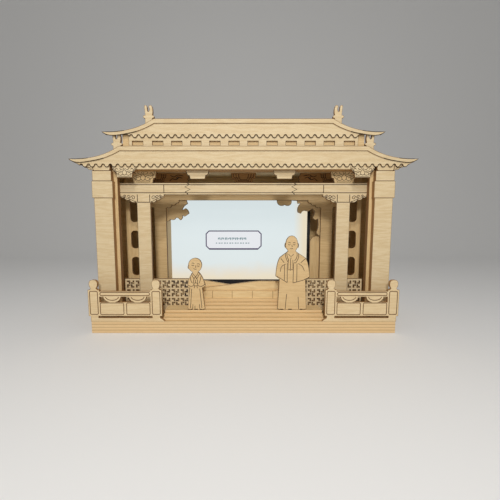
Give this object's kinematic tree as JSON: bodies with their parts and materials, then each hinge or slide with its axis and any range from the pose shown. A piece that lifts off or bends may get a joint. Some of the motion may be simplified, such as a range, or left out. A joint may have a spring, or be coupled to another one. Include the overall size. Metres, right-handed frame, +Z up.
{
  "type": "model temple-front stage",
  "caption": "Laser-cut plywood model of a temple front, layered as a small stage with two cut-out figures and a display screen behind the opening.",
  "frame": {"origin": "middle of the underside of the base sheets", "axes": "+X to the right as seen from the front, +Y from the front to the back, +Z up; the front faces -Y"},
  "size_m": [0.637, 0.196, 0.4145],
  "materials": {
    "facade_plywood": "sanded birch plywood, laser-cut edges",
    "stage_plywood": "sanded plywood, edges showing",
    "carcass_plywood": "plain plywood",
    "figure_plywood": "sanded plywood, laser-engraved",
    "screen_black": "moulded black plastic",
    "screen_picture": "lit display panel"
  },
  "bodies": {
    "root": {"back_board": "carcass_plywood", "balustrade_left": "facade_plywood", "balustrade_right": "facade_plywood", "base_sheet_1": "stage_plywood", "base_sheet_2": "stage_plywood", "base_sheet_3": "stage_plywood", "base_sheet_4": "stage_plywood", "child_figure": "figure_plywood", "column_bracket_left": "facade_plywood", "column_bracket_right": "facade_plywood", "corner_bracket_left": "facade_plywood", "corner_bracket_right": "facade_plywood", "eave_board": "facade_plywood", "elder_figure": "figure_plywood", "foliage_left": "facade_plywood", "foliage_right": "facade_plywood", "frieze_backing": "facade_plywood", "frieze_plate": "facade_plywood", "front_arch": "facade_plywood", "front_bracket_left": "facade_plywood", "front_bracket_right": "facade_plywood", "hanging_bracket_left": "facade_plywood", "hanging_bracket_right": "facade_plywood", "hill_board_front": "stage_plywood", "hill_board_rear": "stage_plywood", "inner_jamb_left": "facade_plywood", "inner_jamb_right": "facade_plywood", "lattice_rail_left": "facade_plywood", "lattice_rail_right": "facade_plywood", "lower_finial_left": "facade_plywood", "lower_finial_right": "facade_plywood", "lower_roof_plate": "facade_plywood", "lower_roof_rim": "facade_plywood", "portal_pillar_left": "facade_plywood", "portal_pillar_right": "facade_plywood", "rear_arch": "facade_plywood", "rear_bracket_left": "facade_plywood", "rear_bracket_middle": "facade_plywood", "rear_bracket_right": "facade_plywood", "screen_housing": "screen_black", "screen_lining_left": "carcass_plywood", "screen_picture": "screen_picture", "side_panel_right": "facade_plywood", "side_wall_left": "carcass_plywood", "side_wall_right": "carcass_plywood", "soffit_board": "facade_plywood", "stage_front": "stage_plywood", "step_sheet_1": "stage_plywood", "step_sheet_2": "stage_plywood", "step_sheet_3": "stage_plywood", "step_sheet_4": "stage_plywood", "step_sheet_5": "stage_plywood", "step_sheet_6": "stage_plywood", "top_board": "carcass_plywood", "upper_finial_left": "facade_plywood", "upper_finial_right": "facade_plywood", "upper_roof_plate": "facade_plywood", "upper_roof_rim": "facade_plywood", "wing_panel_left": "facade_plywood", "wing_panel_right": "facade_plywood"}
  },
  "joints": []
}
